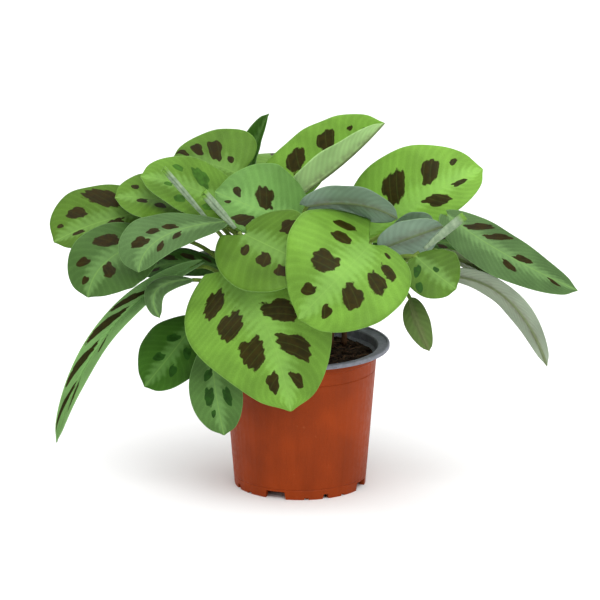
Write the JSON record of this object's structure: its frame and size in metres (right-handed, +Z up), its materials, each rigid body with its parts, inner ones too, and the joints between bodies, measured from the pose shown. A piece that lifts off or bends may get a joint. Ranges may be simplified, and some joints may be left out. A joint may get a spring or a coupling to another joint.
{
  "type": "potted prayer plant",
  "caption": "Potted prayer plant with spotted oval leaves arching out of a thin round terracotta-coloured nursery pot.",
  "frame": {"origin": "middle of the face that the pot stands on, on the pot's axis", "axes": "+Z up along the pot's axis, -Y the plant's front, +X to the right seen from the front"},
  "size_m": [0.3481, 0.25, 0.2496],
  "materials": {
    "leaf": "satin",
    "shoot": "satin",
    "pot": "satin",
    "potting_mix": "matte"
  },
  "bodies": {
    "root": {"leaf_back_1": "leaf", "leaf_back_10": "leaf", "leaf_back_11": "leaf", "leaf_back_12": "leaf", "leaf_back_2": "leaf", "leaf_back_3": "leaf", "leaf_back_4": "leaf", "leaf_back_5": "leaf", "leaf_back_6": "leaf", "leaf_back_7": "leaf", "leaf_back_8": "leaf", "leaf_back_9": "leaf", "leaf_behind_centre": "leaf", "leaf_centre_grey": "leaf", "leaf_centre_left": "leaf", "leaf_far_left": "leaf", "leaf_front_centre": "leaf", "leaf_front_left_pointed": "leaf", "leaf_front_low": "leaf", "leaf_hanging_right": "leaf", "leaf_inner_left": "leaf", "leaf_inner_right": "leaf", "leaf_left_hanging": "leaf", "leaf_left_lower": "leaf", "leaf_left_mid": "leaf", "leaf_lower_left_dark": "leaf", "leaf_pot_left": "leaf", "leaf_right_drooping": "leaf", "leaf_right_inner": "leaf", "leaf_right_shaded": "leaf", "leaf_right_silver": "leaf", "leaf_right_top": "leaf", "leaf_right_under": "leaf", "leaf_small_curled": "leaf", "leaf_small_right": "leaf", "leaf_top_centre": "leaf", "leaf_top_left": "leaf", "leaf_top_narrow": "leaf", "leaf_upper_left": "leaf", "pot": "pot", "potting_mix": "potting_mix", "shoot_centre": "shoot", "shoot_left": "shoot", "shoot_right": "shoot"}
  },
  "joints": []
}
